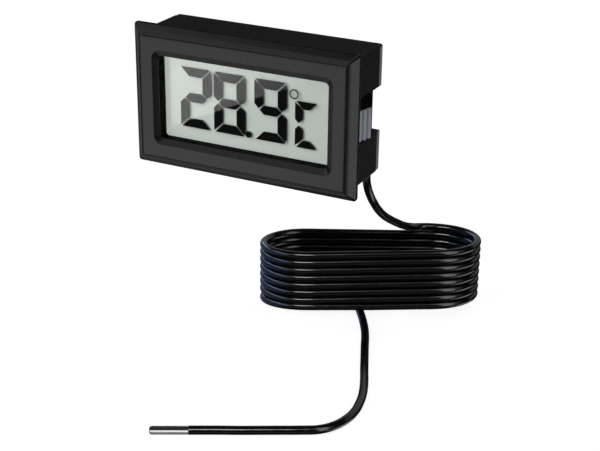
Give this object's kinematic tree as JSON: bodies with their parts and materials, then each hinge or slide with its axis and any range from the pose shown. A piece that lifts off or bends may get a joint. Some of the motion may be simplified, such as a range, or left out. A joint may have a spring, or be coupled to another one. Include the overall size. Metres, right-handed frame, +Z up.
{
  "type": "panel thermometer",
  "caption": "Small digital thermometer with a framed LCD window, a snap-in case for a panel cut-out and a thin probe on a long coiled lead.",
  "frame": {"origin": "centre of the bezel's back plane, where it bears on the front of the panel", "axes": "+X to the reader's right along the bezel's long side, +Y back through the panel, +Z up"},
  "size_m": [0.0622, 0.0804, 0.0623],
  "materials": {
    "case_plastic": "moulded satin black",
    "lcd_polariser": "clear glossy film over a pale green-grey display",
    "lcd_glass": "polished",
    "lcd_ink": "black liquid crystal segments",
    "lcd_reflector": "matt pale green-grey",
    "holder_plastic": "natural white",
    "zebra_rubber": "striped conducting rubber",
    "board_laminate": "green solder resist",
    "chip_resin": "black epoxy",
    "bright_metal": "nickel plated",
    "ceramic": "tan ceramic",
    "contact_metal": "plated spring strip",
    "screw_steel": "zinc plated",
    "latch_plastic": "moulded satin black",
    "grip_plastic": "satin grey, ribbed",
    "wire_insulation": "smooth",
    "cord_jacket": "smooth glossy black",
    "probe_steel": "polished stainless steel"
  },
  "bodies": {
    "case": {"front_housing": "case_plastic", "lcd_polariser": "lcd_polariser", "lcd_front_glass": "lcd_glass", "lcd_segments": "lcd_ink", "lcd_rear_glass": "lcd_glass", "lcd_reflector": "lcd_reflector", "lcd_holder": "holder_plastic", "zebra_strip_upper": "zebra_rubber", "zebra_strip_lower": "zebra_rubber", "circuit_board": "board_laminate", "controller_chip": "chip_resin", "quartz_crystal": "bright_metal", "smd_resistors": "chip_resin", "smd_capacitors": "ceramic", "contact_positive": "contact_metal", "contact_negative": "contact_metal", "contact_bridge": "contact_metal", "button_cell_left": "bright_metal", "button_cell_right": "bright_metal", "rear_cover": "case_plastic", "cover_screws": "screw_steel", "cord_clamp": "holder_plastic", "lead_wires": "wire_insulation", "probe_cord_upper": "cord_jacket", "probe_cord_coil": "cord_jacket", "probe_cord_tail": "cord_jacket", "probe_sleeve": "probe_steel", "thermistor": "chip_resin"},
    "battery_door": {"battery_door": "case_plastic"},
    "latch_right": {"latch_leaf_right": "latch_plastic", "latch_grip_right": "grip_plastic"},
    "latch_left": {"latch_leaf_left": "latch_plastic", "latch_grip_left": "grip_plastic"}
  },
  "joints": [
    {"name": "battery_door_slide", "type": "slide", "parent": "case", "child": "battery_door", "axis": [0, 0, -1], "range_m": [0, 0.015]},
    {"name": "latch_right_flex", "type": "hinge", "parent": "case", "child": "latch_right", "pos_m": [0.0211, 0.0113, 0], "axis": [0, 0, -1], "range_deg": [0, 5], "stiffness_Nm_per_rad": 0.02},
    {"name": "latch_left_flex", "type": "hinge", "parent": "case", "child": "latch_left", "pos_m": [-0.0211, 0.0113, 0], "axis": [0, 0, 1], "range_deg": [0, 5], "stiffness_Nm_per_rad": 0.02}
  ]
}
